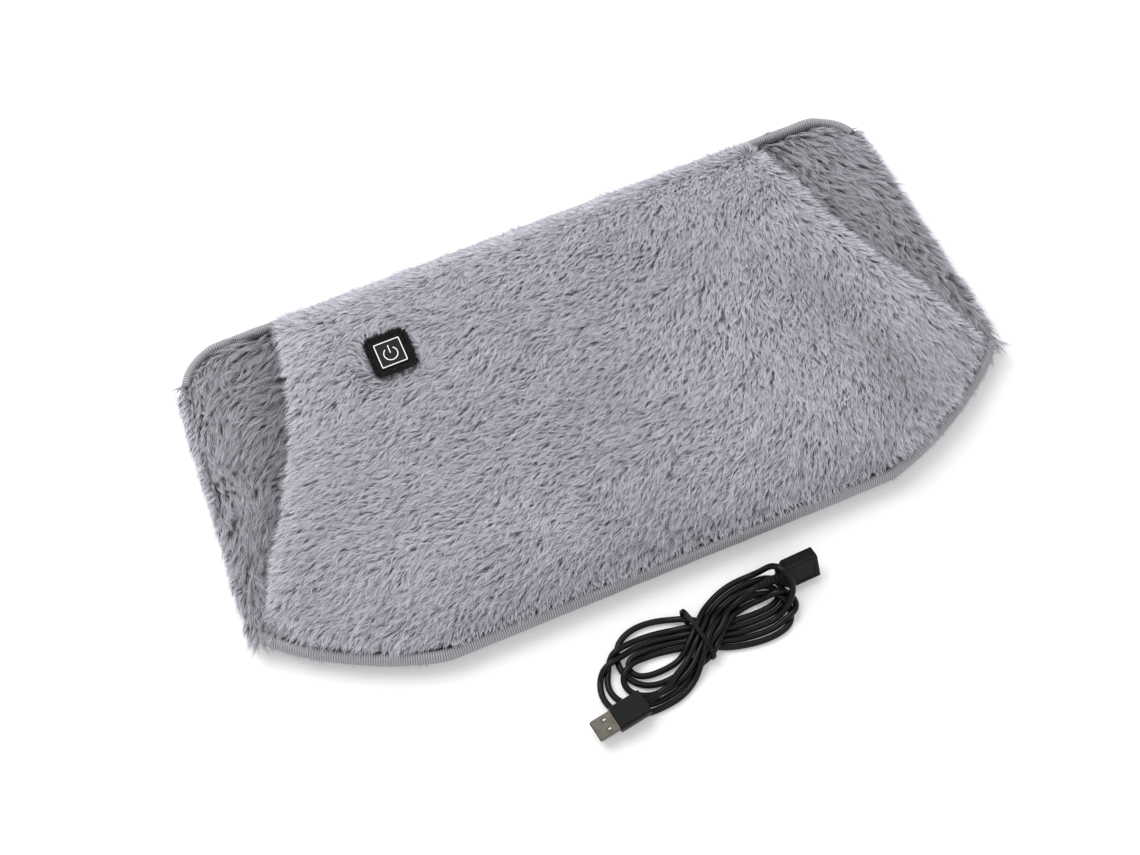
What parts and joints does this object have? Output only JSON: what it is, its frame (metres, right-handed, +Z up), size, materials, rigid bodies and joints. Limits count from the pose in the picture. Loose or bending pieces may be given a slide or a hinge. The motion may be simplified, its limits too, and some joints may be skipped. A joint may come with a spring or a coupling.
{
  "type": "heated waist belt",
  "caption": "Plush heated waist belt with a hand-warming pouch, a power button, hinged closing wings and a coiled extension cable beside it.",
  "frame": {"origin": "on the surface that the belt lies on, below the middle of the belt's box", "axes": "+X along the belt to its right end, +Y to its top edge, +Z up out of the pouch's front"},
  "size_m": [0.453, 0.3036, 0.0479],
  "materials": {
    "plush": "long soft pile",
    "knit": "rib knit",
    "lining": "woven",
    "wadding": "fibre fill",
    "hook_loop": "hooked tape",
    "film": "film",
    "copper": "drawn wire",
    "rubber": "semi-gloss",
    "black_plastic": "matte",
    "white_mark": "printed",
    "board": "coated",
    "steel": "satin",
    "gold": "plated"
  },
  "bodies": {
    "belt": {"front_plush": "plush", "front_wadding": "wadding", "pouch_lining": "lining", "heating_film": "film", "heating_wire": "copper", "thermal_cutout": "steel", "temperature_sensor": "black_plastic", "heater_lead_1": "rubber", "heater_lead_2": "rubber", "supply_lead": "rubber", "outlet_grommet": "rubber", "base_plush": "plush", "base_wadding": "wadding", "rear_lining": "lining", "top_binding": "knit", "bottom_binding": "knit", "switch_housing": "black_plastic", "circuit_board": "board", "controller_chip": "black_plastic", "dome_switch": "steel", "indicator_led_1": "white_mark", "indicator_led_2": "white_mark", "indicator_led_3": "white_mark", "switch_cover": "rubber", "cable_hank": "rubber", "cable_tie": "rubber", "plug_shell": "steel", "plug_tongue": "black_plastic", "plug_contact_1": "gold", "plug_contact_2": "gold", "plug_contact_3": "gold", "plug_contact_4": "gold", "plug_body": "rubber", "plug_relief": "rubber", "socket_body": "rubber", "socket_shell": "steel", "socket_tongue": "black_plastic", "socket_contact_1": "gold", "socket_contact_2": "gold", "socket_contact_3": "gold", "socket_contact_4": "gold", "socket_relief": "rubber"},
    "button": {"power_button": "rubber", "mark_frame": "white_mark", "mark_ring": "white_mark", "mark_bar": "white_mark"},
    "left_wing": {"left_wing_plush": "plush", "left_wing_lining": "lining", "left_wing_binding": "knit", "hook_strip": "hook_loop"},
    "right_wing": {"right_wing_plush": "plush", "right_wing_lining": "lining", "right_wing_binding": "knit", "loop_strip": "lining"}
  },
  "joints": [
    {"name": "button_press", "type": "slide", "parent": "belt", "child": "button", "axis": [0, 0, -1], "range_m": [0, 0.0006], "stiffness_N_per_m": 1500},
    {"name": "left_wing_fold", "type": "hinge", "parent": "belt", "child": "left_wing", "pos_m": [-0.2195, 0.027, 0.00505], "axis": [0.0781, 0.9969, 0], "range_deg": [0, 180]},
    {"name": "right_wing_fold", "type": "hinge", "parent": "belt", "child": "right_wing", "pos_m": [0.2195, 0.027, 0.00505], "axis": [0.0781, -0.9969, 0], "range_deg": [0, 144]}
  ],
  "couplings": [
    {"joint": "right_wing_fold", "follows": "left_wing_fold", "ratio": 0.8}
  ]
}
